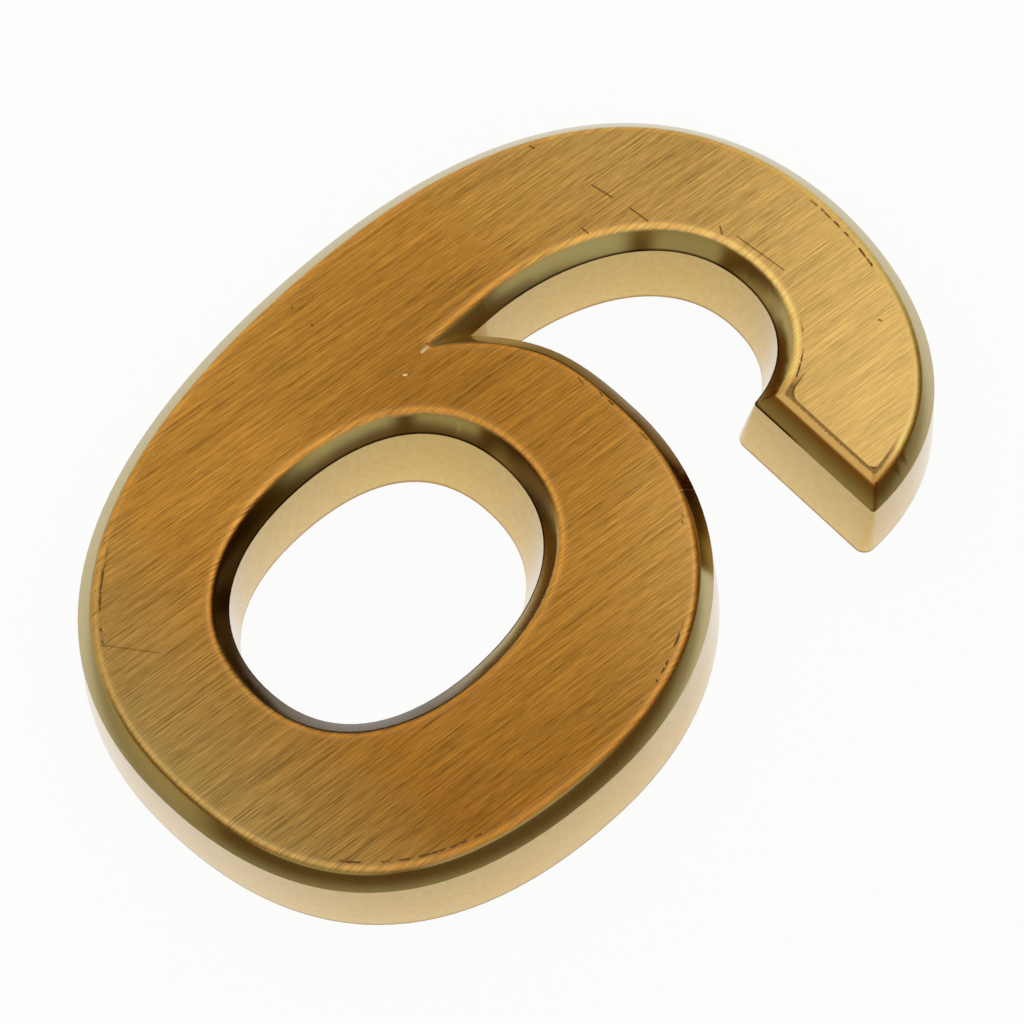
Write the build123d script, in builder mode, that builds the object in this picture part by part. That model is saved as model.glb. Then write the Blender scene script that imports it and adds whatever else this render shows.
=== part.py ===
"""Moulded plastic door number: the digit six, lying on its back with the face up.

X runs to the digit's right, Y to its crown and Z out of the face.
The origin is the middle of the base outline, on the back.
"""
import os
from math import acos, cos, degrees, radians, sin

from build123d import *

# Base outline: sizes at the foot of the walls. X counts from the left edge, levels from the foot
width = 40.05
height = 59.7
hook_band = 9.7              # height of the hook over its ceiling
terminal_drop = 5.7          # ceiling of the hook down to the level cut at its end
mouth = 4.45                 # gap between that cut and the top of the bowl
notch_depth = 3.18           # top of the bowl down to where it runs into the stem
bowl_band = 10.7             # top of the bowl down to the counter
foot_band = 9.95             # foot of the digit up to the counter
stem_level = 30.7            # where the left side is widest
bowl_level = 21.4            # where the bowl is widest to the right
bowl_axis = 20.1             # bowl and counter stand on this line
bowl_top_x = 22.9
hook_axis = 21.5             # crown of the hook, inside and outside
notch_x = 12.4
notch_angle = 41.0           # rise of the bowl as it leaves the notch
notch_run = 0.5              # plain run of both sides next to the notch
notch_bend = 16.0            # radius of the bowl's plain run, the hook's is straight
terminal_left = 27.3
terminal_right = 38.9
terminal_lean = 8.0          # lean of the hook's inner side at the cut
terminal_straight = 1.0      # straight run of both sides above the cut
counter_half_width = 7.55

# Fullness of each round stretch: its two handles as shares of its run or rise
foot_right = (0.68, 0.63)
bowl_shoulder = (0.64, 0.53)
bowl_to_notch = (0.44, 0.35)
hook_inside = (0.40, 0.71)
hook_end = (0.45, 0.40)
hook_outside = (0.75, 0.42)
crown_left = (0.42, 0.80)
foot_left = (0.70, 0.58)
counter_curve = (0.74, 0.55)

# Section of the moulding
thickness = 6.8
wall_height = 5.45           # back to the lower edge of the bevel
base_land = 0.15             # upright strip where the mould parts
draft_run = 0.6              # lean of most walls from the land up to the bevel
foot_draft = 0.3             # the same at the foot, where the wall is steepest
bowl_side_draft = 0.85       # and at the bowl's right side, where it leans most
counter_top_draft = 1.3
counter_foot_draft = 0.3
bevel_run = 1.2
face_edge_radius = 1.0
corner_radius = 0.25         # terminal corners just under the bevel, growing down the draft

# Cored back
core_wall = 2.4
core_depth = 3.7
core_radius = 0.5
rib = 1.2
bowl_rib_angles = (-45, 45, 180, 225)
hook_rib_angles = (90, 165)

# Sizes that follow
hook_inner_top = height - hook_band
terminal_y = hook_inner_top - terminal_drop
bowl_top = terminal_y - mouth
notch_y = bowl_top - notch_depth
counter_top = bowl_top - bowl_band
counter_foot = foot_band
bevel_drop = thickness - wall_height
bevel_top = draft_run + bevel_run
foot_extra = foot_draft - draft_run
bowl_side_extra = bowl_side_draft - draft_run
counter_top_extra = counter_top_draft - draft_run
counter_foot_extra = counter_foot_draft - draft_run
levels = ((0, 0, 1), (base_land, 0, 1), (wall_height, draft_run, 0), (thickness, bevel_top, 0))
hook_spare = terminal_straight + 2 * bevel_top
corner_x = -width / 2
corner_y = -height / 2


def heading(angle, distance):
    """Step of a given length, in a direction in degrees from X."""
    return Vector(distance * cos(radians(angle)), distance * sin(radians(angle)))


def stretch(start, lead, trail, end, inset):
    """Round stretch of an outline, moved to its left by the inset and staying parallel."""
    first = lead - start
    middle = trail - lead
    last = end - trail
    first_bend = first.cross(middle).Z / (1.5 * first.length**3)
    last_bend = middle.cross(last).Z / (1.5 * last.length**3)
    new_start = start + first.normalized().rotate(Axis.Z, 90) * inset
    new_end = end + last.normalized().rotate(Axis.Z, 90) * inset
    new_lead = new_start + first * (1 - first_bend * inset)
    new_trail = new_end - last * (1 - last_bend * inset)
    return Bezier(new_start, new_lead, new_trail, new_end, mode=Mode.PRIVATE)


def run_first(start, end, fullness, inset):
    """Quarter that leaves level and arrives upright."""
    lead = Vector(start.X + fullness[0] * (end.X - start.X), start.Y)
    trail = Vector(end.X, end.Y - fullness[1] * (end.Y - start.Y))
    return stretch(start, lead, trail, end, inset)


def rise_first(start, end, fullness, inset):
    """Quarter that leaves upright and arrives level."""
    lead = Vector(start.X, start.Y + fullness[0] * (end.Y - start.Y))
    trail = Vector(end.X - fullness[1] * (end.X - start.X), end.Y)
    return stretch(start, lead, trail, end, inset)


# Points of the outline that all levels share
bowl_crown = Vector(bowl_top_x, bowl_top)
notch = Vector(notch_x, notch_y)
notch_turn = degrees(notch_run / notch_bend)
bend_centre = notch + heading(notch_angle - 90, notch_bend)
bowl_end = bend_centre + heading(notch_angle - notch_turn + 90, notch_bend)
hook_start = notch + heading(90, notch_run)
hook_ceiling = Vector(hook_axis, hook_inner_top)
end_left = Vector(terminal_left, terminal_y)
end_left_up = end_left + heading(90 + terminal_lean, terminal_straight)
end_right = Vector(terminal_right, terminal_y)
end_right_up = end_right + heading(90, terminal_straight)
crown = Vector(hook_axis, height)
stem_left = Vector(0, stem_level)
notch_chord = (bowl_crown - bowl_end).length
hook_chord = (hook_ceiling - end_left_up).length


def digit_outline(inset, lean):
    """Outline of the digit, moved into the plastic by the inset, with the hook run past its cut.

    A lean of 1 is the base, where foot and bowl side stand off the even draft, and 0 is above it.
    """
    foot = Vector(bowl_axis, foot_extra * (1 - lean))
    bowl_right = Vector(width - bowl_side_extra * (1 - lean), bowl_level)
    bowl = stretch(
        bowl_crown,
        bowl_crown - heading(0, bowl_to_notch[0] * notch_chord),
        bowl_end + heading(notch_angle - notch_turn, bowl_to_notch[1] * notch_chord),
        bowl_end,
        inset,
    )
    ceiling = rise_first(hook_start, hook_ceiling, hook_inside, inset)
    bend = notch_bend - inset
    valley_turn = degrees(acos((notch_x - inset - bend_centre.X) / bend))
    mid_turn = (valley_turn + notch_angle - notch_turn + 90) / 2
    valley = bend_centre + heading(valley_turn, bend)
    inner = stretch(
        hook_ceiling,
        hook_ceiling + heading(0, hook_end[0] * hook_chord),
        end_left_up + heading(90 + terminal_lean, hook_end[1] * hook_chord),
        end_left_up,
        inset,
    )
    outer = rise_first(end_right_up, crown, hook_outside, inset)
    past_left = inner @ 1 + (inner % 1) * hook_spare
    past_right = outer @ 0 - (outer % 0) * hook_spare
    return [
        run_first(foot, bowl_right, foot_right, inset),
        rise_first(bowl_right, bowl_crown, bowl_shoulder, inset),
        bowl,
        ThreePointArc(bowl @ 1, bend_centre + heading(mid_turn, bend), valley, mode=Mode.PRIVATE),
        Line(valley, ceiling @ 0, mode=Mode.PRIVATE),
        ceiling,
        inner,
        Line(inner @ 1, past_left, mode=Mode.PRIVATE),
        Line(past_left, past_right, mode=Mode.PRIVATE),
        Line(past_right, outer @ 0, mode=Mode.PRIVATE),
        outer,
        run_first(crown, stem_left, crown_left, inset),
        rise_first(stem_left, foot, foot_left, inset),
    ]


def counter_outline(inset, lean):
    """Outline of the counter, moved into the plastic by the inset, with the lean as above."""
    top = Vector(bowl_axis, counter_top + counter_top_extra * (1 - lean))
    bottom = Vector(bowl_axis, counter_foot - counter_foot_extra * (1 - lean))
    middle = (top + bottom) / 2
    right = middle + heading(0, counter_half_width)
    left = middle - heading(0, counter_half_width)
    return [
        run_first(bottom, right, counter_curve, -inset),
        rise_first(right, top, counter_curve[::-1], -inset),
        run_first(top, left, counter_curve, -inset),
        rise_first(left, bottom, counter_curve[::-1], -inset),
    ]


def level_faces(outline):
    """An outline's face at each level, on the digit's own origin."""
    return [
        Pos(corner_x, corner_y, level) * Face(Wire(outline(inset, lean)))
        for level, inset, lean in levels
    ]


with BuildPart() as number_six:
    # Digit with land, drafted walls and bevel, the two bevels meeting in a valley at the notch
    loft(level_faces(digit_outline), ruled=True)

    # Counter through the bowl
    loft(level_faces(counter_outline), ruled=True, mode=Mode.SUBTRACT)

    # Level cut across the hook, with the same draft and bevel
    cut_y = corner_y + terminal_y
    with BuildSketch(Plane.YZ.offset(corner_x + terminal_left - hook_spare)):
        with BuildLine():
            Polyline(
                (cut_y, 0),
                (cut_y, base_land),
                (cut_y + draft_run, wall_height),
                (cut_y + bevel_top, thickness),
                (cut_y - hook_spare, thickness),
                (cut_y - hook_spare, 0),
                close=True,
            )
        make_face()
    extrude(amount=terminal_right - terminal_left + 2 * hook_spare, mode=Mode.SUBTRACT)

    # Rounded edge of the brushed face
    face = number_six.faces().sort_by(Axis.Z)[-1]
    fillet(face.edges(), radius=face_edge_radius)

    # Terminal corners, sharp at the bevel and rounder towards the back
    corner_inset = draft_run + corner_radius
    corner_top = wall_height + corner_radius * bevel_drop / bevel_run
    for base_corner, side_angle in ((end_left, 180 + terminal_lean), (end_right, 360)):
        half_angle = (side_angle - 270) / 2
        axis = base_corner + heading(90 + half_angle, corner_inset / cos(radians(half_angle)))
        with BuildPart(mode=Mode.PRIVATE) as corner_tool:
            with BuildSketch(Plane(origin=(corner_x + axis.X, corner_y + axis.Y, 0))):
                reach = 2 * corner_inset
                Polygon(
                    (0, 0),
                    heading(270, reach),
                    heading(270 + half_angle, reach * 2),
                    heading(side_angle, reach),
                    align=None,
                )
            extrude(amount=corner_top)
            with BuildSketch(Plane.XZ) as corner_section:
                with BuildLine():
                    Polyline(
                        (0, 0),
                        (corner_inset, 0),
                        (corner_inset, base_land),
                        (corner_radius, wall_height),
                        (0, corner_top),
                        close=True,
                    )
                make_face()
            with Locations((corner_x + axis.X, corner_y + axis.Y)):
                add(revolve(corner_section.sketch, Axis.Z, mode=Mode.PRIVATE), mode=Mode.SUBTRACT)
        add(corner_tool.part, mode=Mode.SUBTRACT)

    # Cored back, with ribs level with the rim
    with BuildSketch(Plane(origin=(corner_x, corner_y, 0))) as core:
        make_face(digit_outline(core_wall, 1))
        make_face(counter_outline(core_wall, 1), mode=Mode.SUBTRACT)
        with Locations((terminal_right, terminal_y + core_wall)):
            Rectangle(
                2 * (terminal_right - terminal_left),
                2 * hook_spare,
                align=(Align.CENTER, Align.MAX),
                mode=Mode.SUBTRACT,
            )
        for angle in bowl_rib_angles:
            with Locations((bowl_axis, (counter_top + counter_foot) / 2)):
                Rectangle(width, rib, angle, align=(Align.MIN, Align.CENTER), mode=Mode.SUBTRACT)
        for angle in hook_rib_angles:
            with Locations((hook_axis, terminal_y)):
                Rectangle(width, rib, angle, align=(Align.MIN, Align.CENTER), mode=Mode.SUBTRACT)
        fillet(core.vertices(), radius=core_radius)
    extrude(amount=core_depth, mode=Mode.SUBTRACT)

os.makedirs("parts", exist_ok=True)
number_six.part.label = "number_six"
export_step(number_six.part, "parts/number_six.step")
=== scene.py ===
"""Looks of the moulded door number: a bronze-coloured six lying on its back on a white table."""

from math import cos, radians, sin

import bpy
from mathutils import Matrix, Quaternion, Vector


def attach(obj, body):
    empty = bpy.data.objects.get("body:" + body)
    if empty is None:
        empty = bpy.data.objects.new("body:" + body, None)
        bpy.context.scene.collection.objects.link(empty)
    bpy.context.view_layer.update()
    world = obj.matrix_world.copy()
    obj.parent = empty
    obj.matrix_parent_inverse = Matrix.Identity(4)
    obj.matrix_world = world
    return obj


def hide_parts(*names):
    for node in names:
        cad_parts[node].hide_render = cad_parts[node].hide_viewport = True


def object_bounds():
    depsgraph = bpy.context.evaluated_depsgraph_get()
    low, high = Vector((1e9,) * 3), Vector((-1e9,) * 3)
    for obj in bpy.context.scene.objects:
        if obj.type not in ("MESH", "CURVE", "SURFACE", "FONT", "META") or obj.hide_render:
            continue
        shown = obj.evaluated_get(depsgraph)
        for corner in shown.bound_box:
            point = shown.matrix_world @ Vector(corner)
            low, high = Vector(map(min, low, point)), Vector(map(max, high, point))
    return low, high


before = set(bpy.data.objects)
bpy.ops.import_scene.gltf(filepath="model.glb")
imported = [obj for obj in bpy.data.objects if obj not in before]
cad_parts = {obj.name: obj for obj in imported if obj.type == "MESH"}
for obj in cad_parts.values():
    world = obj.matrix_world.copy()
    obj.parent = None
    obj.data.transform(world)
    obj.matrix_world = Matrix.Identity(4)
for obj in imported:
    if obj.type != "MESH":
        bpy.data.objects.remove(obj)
cad_low, cad_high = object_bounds()

MM = 0.001

# Levels of the moulding that the finishes follow, in metres
THICKNESS = cad_high.z
WALL_TOP = 5.45 * MM
BEVEL_MIDDLE = (WALL_TOP + THICKNESS) / 2
ROLLED_EDGE = 0.4 * MM
FLATNESS = 0.0005 * MM
WELD = 0.0001 * MM

# Order of the finishes on the moulding, and how far a surface that counts as flat faces up or down
FACE, BEVEL, WALL, BACK = range(4)
FLAT = 0.5
SMOOTH_BELOW = radians(25)

# Brushing: lean of the strokes on the face, from the digit's upright towards its right
BRUSH_LEAN = radians(6)

# Width and length of the strokes in millimetres, and for the later kinds their share.
# Real ones are too fine to show, so these are as coarse as they need to be.
FINE_STROKES = (0.05, 4)
OTHER_STROKES = ((0.12, 9, 0.45), (0.9, 25, 0.12), (0.05, 1.2, 0.28))

# Contrast of the strokes on the stem and at the hook's end, and the grain's mean
STRONG_STROKES = 4.6
FAINT_STROKES = 2.8
GRAIN_MEAN = 0.5

# Patches of the front in millimetres: middle, radius, and the share of it where the fading starts
CUT = ((12.9, 16.0), 4.8, 0.85)
COUNTER = ((0.1, -10.3), 12.5, 0.9)
HOOK = ((1.5, 12.0), 11.0, 0.9)
VALLEY = ((2.5, 7.5), 8.5, 0.8)
DULL = ((-5.0, 1.0), 13.0, 0.2)

# Stretches of the face's edge with nicked lacquer, given in the same way
NICKED = (
    ((14.3, -20.5), 7.0, 0.6),
    ((7.6, 18.6), 3.0, 0.6),
    ((16.8, -2.3), 4.0, 0.6),
    ((4.5, 27.3), 5.0, 0.6),
    ((-10.7, -23.9), 4.0, 0.6),
)

# Brushed field at the hook's cut, in millimetres: sides, foot, corner radius, left side's lean
BRUSHED_LEFT = 9.3
BRUSHED_LEAN = 0.2
BRUSHED_RIGHT = 16.6
BRUSHED_FOOT = 16.66
BRUSHED_CORNER = 0.7

# Strip below that field in millimetres past its outline: where it starts, and the dark line in it
STRIP_START = (-0.04, 0.04)
STRIP_LINE = (0.16, 0.06)
STRIP_RAGGED = 0.5

# Tones on the face: partly uneven lacquer, partly painted reflection of the lamps and room
BROWN = "#B58136"
UMBER = "#9A6725"
OLIVE = "#A6874C"
HONEY = "#BC9450"
STRAW = "#E6BE74"

# Where each tone starts and is full, in millimetres: up the digit, or on a slant across it
UMBER_SLANT = (8, 34)
OLIVE_UP = (-18, -28)
HONEY_UP = (8, 20)
STRAW_SLANT = (7, 25)
STRAW_UP = (-8, 14)
STRAW_RISE = 0.6
DULL_SHARE = 0.6

# Tones of the strip that the brush missed, the bevel and its edge, with the painted highlight on
# the edge's crest and painted shade low on the bevel
UNBRUSHED = "#8E6E38"
UNBRUSHED_LINE = "#684A1C"
CUT_CREST_HIGHLIGHT = "#CFA45C"
MIRROR_GOLD = "#BCAC7C"
RUBBED_AND_LIT_GOLD = "#DDB268"
INNER_EDGE_SHADE_BROWN = "#4A300C"
SHADED_BROWN = "#402A0A"
VALLEY_SHADE_BROWN = "#6E4C1C"
NICK_BROWN = "#6A4616"

# Where finishes, the painted highlight and painted shade start and are full on the rolled edge,
# from 1 at the face down to 0 at the bevel
CREST_EDGE = (0.98, 0.84)
MIRROR_EDGE = (0.6, 0.25)
RUBBED_AND_LIT_EDGE = (0.84, 0.5)
UNBRUSHED_EDGE = (0.9, 0.94)
SUNK_EDGE = (0.7, 0.4)
NICK_EDGE = (0.955, 0.975)
EDGE_RAGGED = 0.5
CREST_HIGHLIGHT_GAIN = 1.65

# The same on the bevel, as levels in metres, and up the digit in millimetres
RUBBED_AND_LIT_LEVEL = (BEVEL_MIDDLE - 0.2 * MM, THICKNESS - 0.3 * MM)
INNER_EDGE_SHADE_LEVEL = (WALL_TOP + 0.16 * MM, WALL_TOP + 0.06 * MM)
SHADED_UP = (-7, -14)
SHADED_SHARE = 0.9
VALLEY_SHARE = 0.85

# Sizes of the surface's own patterns in millimetres, and the noise that counts as a nick
NICK_SIZE = 0.7
NICK_NOISE = (0.46, 0.54)
BEVEL_RIPPLE = 2.5
BEVEL_RIPPLE_HEIGHT = 0.004
BEVEL_CROWN = -0.05 / MM
WALL_RIPPLE = 3.0
WALL_MOTTLE = 0.5
BACK_GRAIN = 0.3

# Wall from its foot to the bevel, its mottling, and the bare plastic of the back
WALL_TONES = (
    (0.0, "#9C7434"),
    (0.03, "#B68F48"),
    (0.06, "#DBBB77"),
    (0.5, "#CFAE69"),
    (1.0, "#C1A462"),
)
MOTTLE_TONES = ((0.3, "#F5F2EC"), (0.7, "#FFFFFF"))
BACK_TONES = ((0.0, "#CFC6AE"), (1.0, "#E0D8C2"))

# Wear on the front, and a painted glint at the notch's tip, in millimetres: start, end, width,
# strength and colour of each mark
DARK_MARK = "#4C3210"
PALE_MARK_AND_GLINT = "#F0DDB0"
RED_MARK = "#A8401C"
ORANGE_MARK = "#C07C2C"
MARK_CORE = 0.3
SCRATCHES_AND_GLINT = (
    ((16.85, 16.45), (18.05, 15.4), 0.24, 0.7, ORANGE_MARK),
    ((-10.07, 18.22), (-8.54, 18.53), 0.08, 0.8, DARK_MARK),
    ((-7.16, 18.81), (-5.68, 18.97), 0.08, 0.8, DARK_MARK),
    ((-8.29, 15.54), (-7.76, 15.57), 0.08, 0.8, DARK_MARK),
    ((-2.18, 22.06), (-1.68, 21.74), 0.08, 0.8, DARK_MARK),
    ((-0.90, 22.33), (2.91, 22.75), 0.07, 0.7, DARK_MARK),
    ((-14.93, 17.34), (-14.64, 17.42), 0.1, 0.8, DARK_MARK),
    ((-8.43, -25.81), (-5.53, -23.56), 0.07, 0.45, DARK_MARK),
    ((9.60, 24.55), (9.74, 24.63), 0.12, 0.7, DARK_MARK),
    ((-8.72, 0.05), (-8.62, 0.17), 0.1, 0.9, PALE_MARK_AND_GLINT),
    ((-15.40, -1.74), (-15.30, -1.74), 0.09, 0.7, DARK_MARK),
    ((-17.16, -1.83), (-17.08, -1.83), 0.09, 0.7, DARK_MARK),
    ((-9.00, -12.35), (-8.94, -12.35), 0.08, 0.7, RED_MARK),
    ((-0.93, 7.89), (-0.41, 7.82), 0.07, 0.8, DARK_MARK),
    ((0.73, 8.20), (1.02, 8.10), 0.07, 0.8, DARK_MARK),
    ((1.57, 8.17), (1.94, 8.16), 0.1, 0.9, DARK_MARK),
    ((4.50, 8.01), (5.18, 8.00), 0.08, 0.8, DARK_MARK),
    ((10.30, 5.90), (10.36, 5.88), 0.09, 0.7, DARK_MARK),
    ((10.62, 5.60), (10.72, 5.52), 0.09, 0.7, DARK_MARK),
    ((9.03, 7.10), (9.45, 8.60), 0.06, 0.8, PALE_MARK_AND_GLINT),
    # Painted glint: a pale highlight at the notch's tip
    ((-9.09, 1.99), (-9.12, 2.85), 0.15, 0.6, PALE_MARK_AND_GLINT),
)

# Table top: side in metres, drop under the back, own light, and where it dims in reflections
TABLE_SIZE = 2.0
TABLE_DROP = 0.01 * MM
TABLE_GLOW = 0.94
TABLE_DIMS = (48 * MM, 82 * MM)
WHITE = "#FFFFFF"
PAPER_WHITE = "#F4F4F4"
DIMMED_WHITE = "#ACA284"

# Room from the horizon at 0 to overhead at 1, on each of its sides
CEILING = "#F8F6F0"
DIM = "#63471C"
LOW_DIM = ((0.0, "#80704C"), (0.05, DIM))
DARK_SIDE = (*LOW_DIM, (0.3, DIM), (0.45, "#8A6830"), (0.58, "#B08C50"), (0.75, CEILING))
NEAR_SIDE = (*LOW_DIM, (0.19, DIM), (0.26, "#CCC49E"), (0.6, "#A89E74"), (0.76, CEILING))
RIGHT_SIDE = (*LOW_DIM, (0.19, DIM), (0.26, "#DCD8BC"), (0.6, "#CCC8A8"), (0.76, CEILING))
FAR_SIDE = ((0.0, "#E8E2D0"), (0.3, "#D0C4A0"), (0.6, "#E0D8C0"), (0.75, CEILING))
FOOT_SIDE = (
    (0.0, "#C8B890"),
    (0.14, "#C4B488"),
    (0.28, DIM),
    (0.36, DIM),
    (0.5, "#8C6C38"),
    (0.74, CEILING),
)

# Sides that stand before the dark one, in degrees round the digit: start, end and half the fade
PANELS = (
    (-130, -96, 4, FOOT_SIDE),
    (-84, -40, 3, NEAR_SIDE),
    (-28, 14, 3, RIGHT_SIDE),
    (92, 200, 12, FAR_SIDE),
    (-200, -130, 8, FAR_SIDE),
)

# Camera at the photograph's angle: lens and sensor in millimetres, the rest in metres
CAMERA_AIM = Vector((0.81, 0.40, 0)) * MM
CAMERA_AZIMUTH = radians(45.16)
CAMERA_ELEVATION = radians(67.63)
CAMERA_ROLL = radians(0.96)
CAMERA_DISTANCE = 208.0 * MM
CAMERA_NEAREST = 10 * MM
CAMERA_LENS = 113.1
CAMERA_SENSOR = 36.0


def colour(code):
    """Linear colour with alpha from an sRGB hex value."""
    parts = [int(code[i : i + 2], 16) / 255 for i in (1, 3, 5)]
    return [p / 12.92 if p <= 0.04045 else ((p + 0.055) / 1.055) ** 2.4 for p in parts] + [1.0]


def node(tree, kind, inputs=None, out=0, stops=(), **settings):
    """One output, or all, of a new node with its settings, ramp stops and set or linked inputs."""
    made = tree.nodes.new("ShaderNode" + kind)
    for name, value in settings.items():
        setattr(made, name, value)
    if stops:
        ends = made.color_ramp.elements
        for end, (position, code) in zip((ends[0], ends[1]), (stops[0], stops[-1])):
            end.position, end.color = position, colour(code)
        for position, code in stops[1:-1]:
            ends.new(position).color = colour(code)
    for socket, value in (inputs or {}).items():
        if isinstance(value, bpy.types.NodeSocket):
            tree.links.new(value, made.inputs[socket])
        else:
            made.inputs[socket].default_value = value
    return made.outputs if out is None else made.outputs[out]


def new_material(name):
    """Empty material, its node tree and the place on the piece that its patterns follow."""
    material = bpy.data.materials.new(name)
    material.use_nodes = True
    tree = material.node_tree
    tree.nodes.clear()
    return material, tree, node(tree, "TexCoord", out="Object")


def painted(tree, tone, layers):
    """Colour with layers over it, each given as where it lies, from 0 to 1, and its hex value."""
    for where, code in layers:
        tone = node(tree, "Mix", {0: where, 6: tone, 7: colour(code)}, 2, data_type="RGBA")
    return tone


def overlap(tree, where, *others):
    """What several patches share, each from 0 to 1."""
    for other in others:
        where = node(tree, "Math", {0: where, 1: other}, operation="MULTIPLY")
    return where


def near(tree, place, middle, radius, soft):
    """1 round a spot on the front, in millimetres, fading to 0 at a radius."""
    spot = (middle[0] * MM, middle[1] * MM, THICKNESS)
    away = node(tree, "VectorMath", {0: place, 1: spot}, "Value", operation="DISTANCE")
    return node(tree, "MapRange", {0: away, 1: radius * MM, 2: radius * MM * soft})


def strokes(tree, place, width, length):
    """Noise drawn out along the brushing, from one stroke's width and length in millimetres."""
    lines = node(
        tree,
        "Mapping",
        {"Vector": place, "Rotation": (0, 0, -BRUSH_LEAN), "Scale": (width * MM, length * MM, 1)},
        vector_type="TEXTURE",
    )
    return node(
        tree, "TexNoise", {"Vector": lines, "Scale": 1.0, "Detail": 2.0, "Roughness": 0.6}
    )


def straight_streak(tree, place, start, end, width):
    """1 along a straight mark between two spots in millimetres, seen on the front, 0 beside it."""
    first = Vector((*start, 0)) * MM
    run = Vector((*end, 0)) * MM - first
    way = run.normalized()
    flat = node(tree, "VectorMath", {0: place, 1: (1, 1, 0)}, operation="MULTIPLY")
    along = node(tree, "VectorMath", {0: flat, 1: first}, operation="SUBTRACT")
    reach = node(tree, "VectorMath", {0: along, 1: way}, "Value", operation="DOT_PRODUCT")
    reach = node(tree, "Clamp", {"Value": reach, "Min": 0.0, "Max": run.length})
    foot = node(tree, "VectorMath", {0: way, "Scale": reach}, operation="SCALE")
    away = node(tree, "VectorMath", {0: along, 1: foot}, "Value", operation="DISTANCE")
    return node(tree, "MapRange", {0: away, 1: width * MM, 2: width * MM * MARK_CORE})


def brushed_tone(tree, place):
    """Colour of the brushed lacquer, and the relief of its strokes about their mean.

    The tones are partly uneven lacquer and partly painted reflection of the lamps: umber at the
    foot's right, an olive sheen at its left, a lighter honey at the crown and straw at the hook's
    end, with a duller patch on the stem.
    """
    x, y, _ = node(tree, "SeparateXYZ", {0: place}, None)
    to_foot = node(tree, "Math", {0: x, 1: y}, operation="SUBTRACT")
    to_hook = node(tree, "Math", {0: y, 1: STRAW_RISE, 2: x}, operation="MULTIPLY_ADD")
    umber, olive, honey, straw_across, straw_up = (
        node(tree, "MapRange", {0: along, 1: start * MM, 2: full * MM})
        for along, (start, full) in (
            (to_foot, UMBER_SLANT),
            (y, OLIVE_UP),
            (y, HONEY_UP),
            (to_hook, STRAW_SLANT),
            (y, STRAW_UP),
        )
    )
    straw = overlap(tree, straw_across, straw_up)
    dull = overlap(tree, near(tree, place, *DULL), DULL_SHARE)
    # Painted reflection, partly uneven lacquer: lighter honey and straw at the crown and the hook,
    # an olive sheen at the foot's left
    tone = painted(
        tree,
        colour(BROWN),
        ((umber, UMBER), (olive, OLIVE), (honey, HONEY), (straw, STRAW), (dull, UMBER)),
    )

    grain = strokes(tree, place, *FINE_STROKES)
    for width, length, share in OTHER_STROKES:
        grain = node(tree, "Mix", {0: share, 2: grain, 3: strokes(tree, place, width, length)})
    relief = node(tree, "Math", {0: grain, 1: GRAIN_MEAN}, operation="SUBTRACT")
    contrast = node(tree, "Mix", {0: straw, 2: STRONG_STROKES, 3: FAINT_STROKES})
    shade = node(tree, "Math", {0: relief, 1: contrast, 2: 1.0}, operation="MULTIPLY_ADD")
    return node(tree, "VectorMath", {0: tone, "Scale": shade}, operation="SCALE"), relief


def unbrushed_edge(tree, place, tone, relief):
    """Colour of the face with the strip along the hook's cut that the brush did not reach.

    The brushed field beside it is rounded at its two corners.
    """
    x, y, _ = node(tree, "SeparateXYZ", {0: place}, None)
    above = node(tree, "Math", {0: y, 1: BRUSHED_FOOT * MM}, operation="SUBTRACT")
    left = node(tree, "Math", {0: x, 1: BRUSHED_LEFT * MM}, operation="SUBTRACT")
    left = node(tree, "Math", {0: above, 1: BRUSHED_LEAN, 2: left}, operation="MULTIPLY_ADD")
    right = node(tree, "Math", {0: BRUSHED_RIGHT * MM, 1: x}, operation="SUBTRACT")
    aside = node(tree, "Math", {0: left, 1: right}, operation="MINIMUM")
    short = []
    for off in (aside, above):
        gap = node(tree, "Math", {0: BRUSHED_CORNER * MM, 1: off}, operation="SUBTRACT")
        short.append(node(tree, "Math", {0: gap, 1: 0.0}, operation="MAXIMUM"))
    gap = node(tree, "CombineXYZ", {0: short[0], 1: short[1]})
    gap = node(tree, "VectorMath", {0: gap}, "Value", operation="LENGTH")
    gap = node(tree, "Math", {0: relief, 1: STRIP_RAGGED * MM, 2: gap}, operation="MULTIPLY_ADD")
    strip, line = (
        node(
            tree,
            "MapRange",
            {0: gap, 1: (BRUSHED_CORNER + start) * MM, 2: (BRUSHED_CORNER + full) * MM},
        )
        for start, full in (STRIP_START, STRIP_LINE)
    )
    strip = overlap(tree, strip, near(tree, place, *CUT))
    return painted(
        tree, tone, ((strip, UNBRUSHED), (overlap(tree, strip, line), UNBRUSHED_LINE))
    )


def worn_and_glinting(tree, place, tone):
    """A surface's colour with the wear on it and the painted glint at the notch's tip."""
    marks = [
        (overlap(tree, straight_streak(tree, place, start, end, width), strength), code)
        for start, end, width, strength, code in SCRATCHES_AND_GLINT
    ]
    return painted(tree, tone, marks)


def brushed_face():
    """Metallised ABS brushed through brown lacquer: fine straight strokes, a long soft glare."""
    material, tree, place = new_material("brushed_bronze_lacquer_on_abs")
    tone, relief = brushed_tone(tree, place)
    tone = worn_and_glinting(tree, place, unbrushed_edge(tree, place, tone, relief))
    bump = node(tree, "Bump", {"Height": relief, "Strength": 0.35, "Distance": 0.02 * MM})
    shader = node(
        tree,
        "BsdfPrincipled",
        {"Base Color": tone, "Metallic": 1.0, "Roughness": 0.34, "Normal": bump},
    )
    node(tree, "OutputMaterial", {"Surface": shader}, None)
    return material


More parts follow.
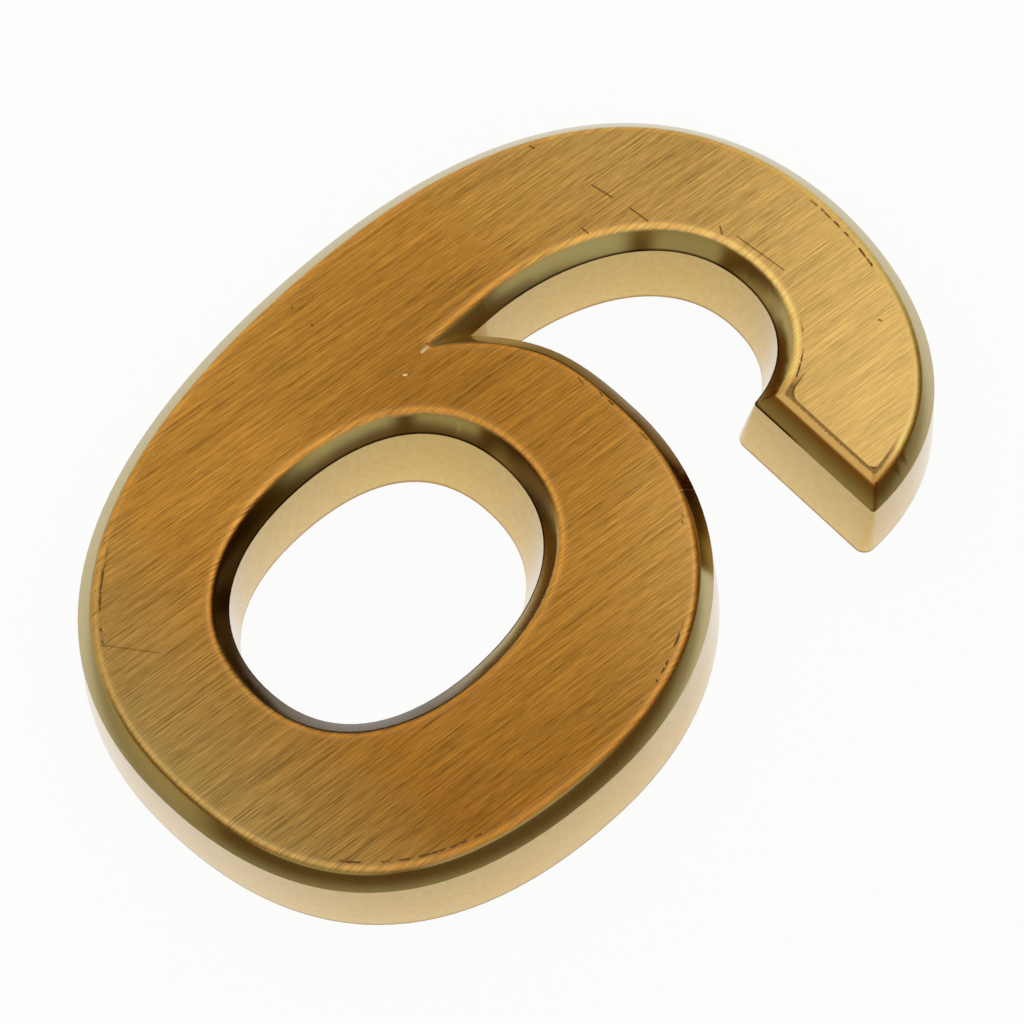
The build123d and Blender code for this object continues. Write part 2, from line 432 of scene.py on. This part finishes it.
def bevel_tone(tree, place, edge):
    """Colour of the bevel: brushing runs out over the rolled edge, whose crest has a painted
    highlight, and which at the hook's cut is rubbed gold, partly a painted highlight.

    Painted shade darkens the lower edge inside the counter and the hook, the counter's lower side
    and the valley at the notch.
    """
    _, y, level = node(tree, "SeparateXYZ", {0: place}, None)
    brushed, relief = brushed_tone(tree, place)
    ragged = node(tree, "Math", {0: relief, 1: EDGE_RAGGED, 2: edge}, operation="MULTIPLY_ADD")
    crest_on, mirror, below_crest, missed, sunk, sunk_even, nick_line, rubbed, inner_edge_shade, lower = (
        node(tree, "MapRange", {0: along, 1: start, 2: full})
        for along, (start, full) in (
            (ragged, CREST_EDGE),
            (ragged, MIRROR_EDGE),
            (ragged, RUBBED_AND_LIT_EDGE),
            (ragged, UNBRUSHED_EDGE),
            (ragged, SUNK_EDGE),
            (edge, SUNK_EDGE),
            (edge, NICK_EDGE),
            (level, RUBBED_AND_LIT_LEVEL),
            (level, INNER_EDGE_SHADE_LEVEL),
            (y, (SHADED_UP[0] * MM, SHADED_UP[1] * MM)),
        )
    )
    cut, counter, hook, valley = (
        near(tree, place, *patch) for patch in (CUT, COUNTER, HOOK, VALLEY)
    )
    inside = node(tree, "Math", {0: counter, 1: hook}, operation="MAXIMUM")
    nicked = 0.0
    for patch in NICKED:
        here = near(tree, place, *patch)
        nicked = node(tree, "Math", {0: nicked, 1: here}, operation="MAXIMUM")
    nicks = node(tree, "TexNoise", {"Vector": place, "Scale": 1 / (NICK_SIZE * MM), "Detail": 4.0})
    nicks = node(tree, "MapRange", {0: nicks, 1: NICK_NOISE[0], 2: NICK_NOISE[1]})

    # Painted highlight: the rolled edge's crest is drawn brighter, orange-tan at the hook's cut
    crest = node(tree, "VectorMath", {0: brushed, "Scale": CREST_HIGHLIGHT_GAIN}, operation="SCALE")
    crest = painted(tree, crest, ((cut, CUT_CREST_HIGHLIGHT),))
    tone = node(tree, "Mix", {0: crest_on, 6: brushed, 7: crest}, 2, data_type="RGBA")
    tone = painted(
        tree,
        tone,
        (
            (mirror, MIRROR_GOLD),
            # Rubbed gold at the hook's cut, partly a painted highlight
            (overlap(tree, rubbed, cut, below_crest), RUBBED_AND_LIT_GOLD),
            (overlap(tree, missed, cut), UNBRUSHED),
            # Painted shade: a dark line along the bevel's lower edge inside the counter and the
            # hook
            (overlap(tree, inner_edge_shade, inside), INNER_EDGE_SHADE_BROWN),
            # Painted shade on the bevel at the counter's lower side
            (overlap(tree, counter, sunk, lower, SHADED_SHARE), SHADED_BROWN),
            # Painted shade low on the rolled edge in the valley by the notch
            (overlap(tree, valley, sunk_even, VALLEY_SHARE), VALLEY_SHADE_BROWN),
            (overlap(tree, nicks, nick_line, nicked), NICK_BROWN),
        ),
    )
    return worn_and_glinting(tree, place, tone)


def glossy_bevel():
    """Metallised ABS under clear lacquer: a slightly crowned mirror, duller at its rolled edge."""
    material, tree, place = new_material("metallised_abs_bevel")
    level = node(tree, "SeparateXYZ", {0: place}, "Z")
    edge = node(tree, "MapRange", {0: level, 1: THICKNESS - ROLLED_EDGE, 2: THICKNESS})
    ripple = node(
        tree, "TexNoise", {"Vector": place, "Scale": 1 / (BEVEL_RIPPLE * MM), "Detail": 1.0}
    )
    ripple = node(tree, "Math", {0: ripple, 1: BEVEL_RIPPLE_HEIGHT * MM}, operation="MULTIPLY")
    off = node(tree, "Math", {0: level, 1: BEVEL_MIDDLE}, operation="SUBTRACT")
    off = node(tree, "Math", {0: off, 1: 2.0}, operation="POWER")
    height = node(tree, "Math", {0: off, 1: BEVEL_CROWN, 2: ripple}, operation="MULTIPLY_ADD")
    shader = node(
        tree,
        "BsdfPrincipled",
        {
            "Base Color": bevel_tone(tree, place, edge),
            "Metallic": 1.0,
            "Roughness": node(tree, "Mix", {0: edge, 2: 0.17, 3: 0.36}),
            "Coat Weight": 0.3,
            "Coat Roughness": 0.08,
            "Normal": node(tree, "Bump", {"Height": height, "Strength": 1.0, "Distance": 1.0}),
        },
    )
    node(tree, "OutputMaterial", {"Surface": shader}, None)
    return material


def glossy_wall():
    """Metallised ABS under clear lacquer on the walls: paler gold, with the mould's soft ripple."""
    material, tree, place = new_material("metallised_abs_wall")
    level = node(tree, "SeparateXYZ", {0: place}, "Z")
    ripple = node(
        tree, "TexNoise", {"Vector": place, "Scale": 1 / (WALL_RIPPLE * MM), "Detail": 2.0}
    )
    mottle = node(
        tree, "TexNoise", {"Vector": place, "Scale": 1 / (WALL_MOTTLE * MM), "Detail": 3.0}
    )
    mottle = node(tree, "ValToRGB", {"Fac": mottle}, stops=MOTTLE_TONES)
    rise = node(tree, "MapRange", {0: level, 1: 0.0, 2: WALL_TOP})
    tone = node(tree, "ValToRGB", {"Fac": rise}, stops=WALL_TONES)
    tone = node(
        tree,
        "Mix",
        {0: 1.0, 6: tone, 7: mottle},
        2,
        data_type="RGBA",
        blend_type="MULTIPLY",
    )
    bump = node(tree, "Bump", {"Height": ripple, "Strength": 0.4, "Distance": 0.05 * MM})
    shader = node(
        tree,
        "BsdfPrincipled",
        {
            "Base Color": tone,
            "Metallic": 1.0,
            "Roughness": 0.16,
            "Coat Weight": 0.25,
            "Coat Roughness": 0.08,
            "Normal": bump,
        },
    )
    node(tree, "OutputMaterial", {"Surface": shader}, None)
    return material


def raw_back():
    """Bare moulded ABS on the back, out of the coating's reach: dull and slightly grained."""
    material, tree, place = new_material("bare_moulded_abs")
    grain = node(
        tree, "TexNoise", {"Vector": place, "Scale": 1 / (BACK_GRAIN * MM), "Detail": 2.0}
    )
    tone = node(tree, "ValToRGB", {"Fac": grain}, stops=BACK_TONES)
    bump = node(tree, "Bump", {"Height": grain, "Strength": 0.3, "Distance": 0.02 * MM})
    shader = node(
        tree,
        "BsdfPrincipled",
        {"Base Color": tone, "Roughness": 0.5, "IOR": 1.53, "Normal": bump},
    )
    node(tree, "OutputMaterial", {"Surface": shader}, None)
    return material


def make_moulding():
    """The digit's visible skin: a merged copy of the solid, with a finish for each surface."""
    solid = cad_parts["number_six"]
    piece = bpy.data.objects.new("six_moulding", solid.data.copy())
    bpy.context.scene.collection.objects.link(piece)
    bpy.ops.object.select_all(action="DESELECT")
    piece.select_set(True)
    bpy.context.view_layer.objects.active = piece
    bpy.ops.object.mode_set(mode="EDIT")
    bpy.ops.mesh.select_all(action="SELECT")
    bpy.ops.mesh.remove_doubles(threshold=WELD)
    bpy.ops.object.mode_set(mode="OBJECT")
    bpy.ops.mesh.customdata_custom_splitnormals_clear()
    bpy.ops.object.shade_smooth_by_angle(angle=SMOOTH_BELOW)
    even = piece.modifiers.new("even_normals", "WEIGHTED_NORMAL")
    even.weight = 100
    even.keep_sharp = True
    bpy.ops.object.modifier_apply(modifier=even.name)

    mesh = piece.data
    mesh.materials.clear()
    for material in (brushed_face(), glossy_bevel(), glossy_wall(), raw_back()):
        mesh.materials.append(material)
    for polygon in mesh.polygons:
        upward, middle = polygon.normal.z, polygon.center.z
        if upward < -FLAT or (upward > FLAT and middle < WALL_TOP):
            polygon.material_index = BACK
        elif middle > THICKNESS - FLATNESS:
            polygon.material_index = FACE
        elif middle > WALL_TOP:
            polygon.material_index = BEVEL
        else:
            polygon.material_index = WALL
    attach(piece, "root")
    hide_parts("number_six")


def make_table():
    """White table top: white to the eye, dimmer in reflections far from the digit, shadowed."""
    bpy.ops.object.select_all(action="DESELECT")
    bpy.ops.mesh.primitive_plane_add(size=TABLE_SIZE, location=(0, 0, -TABLE_DROP))
    floor = bpy.context.object
    floor.name = "white_table"
    material, tree, place = new_material("white_paper")
    path = node(tree, "LightPath", out=None)
    seen = path["Is Camera Ray"]
    for ray in ("Is Glossy Ray", "Is Transmission Ray"):
        seen = node(tree, "Math", {0: seen, 1: path[ray]}, operation="MAXIMUM")
    glow = node(tree, "Math", {0: seen, 1: TABLE_GLOW}, operation="MULTIPLY")
    reach = node(tree, "VectorMath", {0: place}, "Value", operation="LENGTH")
    far = node(tree, "MapRange", {0: reach, 1: TABLE_DIMS[0], 2: TABLE_DIMS[1]})
    sheet = node(tree, "ValToRGB", {"Fac": far}, stops=((0.0, WHITE), (1.0, DIMMED_WHITE)))
    sheet = painted(tree, sheet, ((path["Is Camera Ray"], WHITE),))
    matt = node(tree, "BsdfDiffuse", {"Color": colour(PAPER_WHITE)})
    white = node(tree, "Emission", {"Color": sheet, "Strength": 1.0})
    paper = node(tree, "MixShader", {0: glow, 1: matt, 2: white})
    node(tree, "OutputMaterial", {"Surface": paper}, None)
    floor.data.materials.append(material)


def light_room():
    """Studio: bright ceiling over a dim warm room, pale behind the digit, panels at its sides."""
    world = bpy.data.worlds.new("studio")
    bpy.context.scene.world = world
    world.use_nodes = True
    tree = world.node_tree
    tree.nodes.clear()
    x, y, z = node(tree, "SeparateXYZ", {0: node(tree, "TexCoord", out="Generated")}, None)
    bearing = node(tree, "Math", {0: y, 1: x}, operation="ARCTAN2")
    room = node(tree, "ValToRGB", {"Fac": z}, stops=DARK_SIDE)
    for start, end, soft, stops in PANELS:
        after, before = (
            node(tree, "MapRange", {0: bearing, 1: radians(outer), 2: radians(inner)})
            for outer, inner in ((start - soft, start + soft), (end + soft, end - soft))
        )
        side = node(tree, "ValToRGB", {"Fac": z}, stops=stops)
        here = overlap(tree, after, before)
        room = node(tree, "Mix", {0: here, 6: room, 7: side}, 2, data_type="RGBA")
    background = node(tree, "Background", {"Color": room, "Strength": 1.0})
    node(tree, "OutputWorld", {"Surface": background}, None)


def set_camera():
    """Camera at the photograph's angle."""
    away = Vector((-cos(CAMERA_AZIMUTH), sin(CAMERA_AZIMUTH), 0))
    forward = away * cos(CAMERA_ELEVATION) - Vector((0, 0, 1)) * sin(CAMERA_ELEVATION)
    camera = bpy.data.objects.new("camera", bpy.data.cameras.new("camera"))
    camera.data.lens = CAMERA_LENS
    camera.data.sensor_width = CAMERA_SENSOR
    camera.data.clip_start = CAMERA_NEAREST
    camera.location = CAMERA_AIM - forward * CAMERA_DISTANCE
    camera.rotation_mode = "QUATERNION"
    turn = Quaternion((0, 0, 1), CAMERA_ROLL)
    camera.rotation_quaternion = forward.to_track_quat("-Z", "Y") @ turn
    bpy.context.scene.collection.objects.link(camera)
    bpy.context.scene.camera = camera


make_moulding()
make_table()
light_room()
set_camera()
bpy.context.scene.view_settings.view_transform = "Standard"
